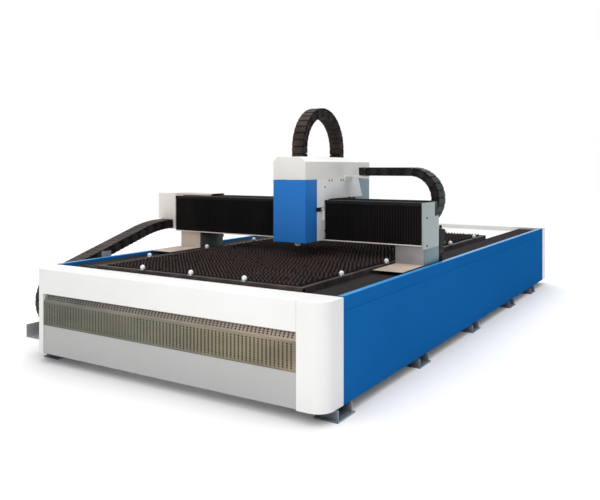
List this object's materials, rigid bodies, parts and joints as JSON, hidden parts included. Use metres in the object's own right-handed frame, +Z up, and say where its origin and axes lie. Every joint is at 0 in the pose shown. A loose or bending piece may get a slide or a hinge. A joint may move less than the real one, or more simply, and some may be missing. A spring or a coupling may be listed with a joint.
{
  "type": "laser cutting machine",
  "caption": "Open-bed fiber laser cutting machine: long slatted table between blue side panels, white front, travelling gantry with bellows, and a cutting head under drag chains.",
  "frame": {"origin": "on the floor, under the middle of the machine's overall box", "axes": "+X to the machine's right, +Y from the front cover to the rear cover, +Z up"},
  "size_m": [3.155, 6.42, 2.2249],
  "materials": {
    "white_cover": "satin powder coat",
    "blue_panel": "satin powder coat",
    "light_blue_edge": "satin powder coat",
    "head_blue": "satin powder coat",
    "grey_panel": "satin powder coat",
    "olive_grille": "perforated sheet, satin",
    "frame_grey": "matt machine enamel",
    "table_dark": "scorched mill steel",
    "slat_dark": "scorched steel strip with rust tints",
    "steel": "ground steel",
    "ball_white": "glossy",
    "black_cloth": "coated bellows cloth",
    "way_cloth": "coated bellows cloth, dusty",
    "chain_black": "moulded chain links",
    "end_grey": "satin powder coat",
    "skirt_blue_grey": "satin powder coat",
    "apron_metal": "brushed sheet",
    "beige_cover": "satin powder coat",
    "saddle_green": "matt machine enamel",
    "motor_black": "matt enamel",
    "tray_grey": "zinc-grey sheet",
    "plate_alu": "machined",
    "copper": "turned copper alloy",
    "latch_black": "moulded"
  },
  "bodies": {
    "bed": {"left_bed_beam": "frame_grey", "right_bed_beam": "frame_grey", "cross_members": "frame_grey", "foot_brackets": "frame_grey", "levelling_bolts": "steel", "front_cover": "white_cover", "corner_covers": "white_cover", "front_grille": "olive_grille", "front_lower_panel": "grey_panel", "rear_cover": "white_cover", "rear_deck": "white_cover", "left_side_panel": "blue_panel", "right_side_panel": "blue_panel", "edge_strips": "light_blue_edge", "left_gap_cover": "table_dark", "table_side_rails": "table_dark", "table_end_rails": "table_dark", "slat_bearers": "table_dark", "slats": "slat_dark", "ball_housings": "steel", "transfer_balls": "ball_white", "scrap_trays": "tray_grey", "gantry_rails": "steel", "gantry_racks": "steel", "front_way_covers": "way_cloth", "rear_way_covers": "way_cloth", "chain_tray": "tray_grey", "gantry_chain": "chain_black"},
    "gantry": {"gantry_beam": "frame_grey", "saddles": "saddle_green", "right_end_plate": "end_grey", "right_end_skirt": "skirt_blue_grey", "left_end_cover": "beige_cover", "beam_top_cover": "motor_black", "bellows_lip": "beige_cover", "aprons": "apron_metal", "gantry_motors": "motor_black", "carriage_rails": "steel", "carriage_rack": "steel", "left_bellows": "black_cloth", "right_bellows": "black_cloth", "beam_chain_tray": "frame_grey", "beam_chain": "chain_black"},
    "left_pinion": {"left_pinion": "steel"},
    "right_pinion": {"right_pinion": "steel"},
    "carriage": {"carriage_plate": "plate_alu", "carriage_housing": "end_grey", "rear_shield": "skirt_blue_grey", "head_hood": "white_cover", "carriage_motor": "motor_black", "z_motor": "motor_black", "z_rails": "steel", "arch_chain": "chain_black"},
    "carriage_pinion": {"carriage_pinion": "steel"},
    "z_screw": {"z_screw": "steel"},
    "head": {"z_slide": "plate_alu", "laser_head": "motor_black", "nozzle": "copper"},
    "door": {"head_cover": "head_blue"},
    "latch": {"cover_latch": "latch_black"}
  },
  "joints": [
    {"name": "gantry_slide", "type": "slide", "parent": "bed", "child": "gantry", "axis": [0, 1, 0], "range_m": [-1.1, 2.8], "deforming": ["front_way_covers", "rear_way_covers", "gantry_chain"]},
    {"name": "carriage_slide", "type": "slide", "parent": "gantry", "child": "carriage", "axis": [1, 0, 0], "range_m": [-1.1, 0.75], "deforming": ["left_bellows", "right_bellows", "beam_chain"]},
    {"name": "z_slide", "type": "slide", "parent": "carriage", "child": "head", "axis": [0, 0, 1], "range_m": [-0.075, 0.03], "deforming": ["arch_chain"]},
    {"name": "right_pinion_spin", "type": "hinge", "parent": "gantry", "child": "right_pinion", "pos_m": [1.4132, -0.92, 0.7], "axis": [0, 0, 1], "range_deg": [-3586, 1421]},
    {"name": "left_pinion_spin", "type": "hinge", "parent": "gantry", "child": "left_pinion", "pos_m": [-1.1782, -0.92, 0.7], "axis": [0, 0, 1], "range_deg": [-1421, 3586]},
    {"name": "carriage_pinion_spin", "type": "hinge", "parent": "carriage", "child": "carriage_pinion", "pos_m": [0.4425, -1.3533, 1.32], "axis": [0, 0, 1], "range_deg": [-1990, 1363]},
    {"name": "z_screw_spin", "type": "hinge", "parent": "carriage", "child": "z_screw", "pos_m": [0.2905, -1.395, 1.2], "axis": [0, 0, 1], "range_deg": [-1100, 2720]},
    {"name": "cover_hinge", "type": "hinge", "parent": "carriage", "child": "door", "pos_m": [0.1705, -1.556, 1.25], "axis": [0, 0, -1], "range_deg": [0, 100]},
    {"name": "latch_turn", "type": "hinge", "parent": "carriage", "child": "latch", "pos_m": [0.5265, -1.481, 1.264], "axis": [1, 0, 0], "range_deg": [0, 90]}
  ],
  "couplings": [
    {"joint": "right_pinion_spin", "follows": "gantry_slide", "rad_per_m": -22.222},
    {"joint": "left_pinion_spin", "follows": "gantry_slide", "rad_per_m": 22.222},
    {"joint": "carriage_pinion_spin", "follows": "carriage_slide", "rad_per_m": 31.25},
    {"joint": "z_screw_spin", "follows": "z_slide", "rad_per_m": -628.32}
  ]
}
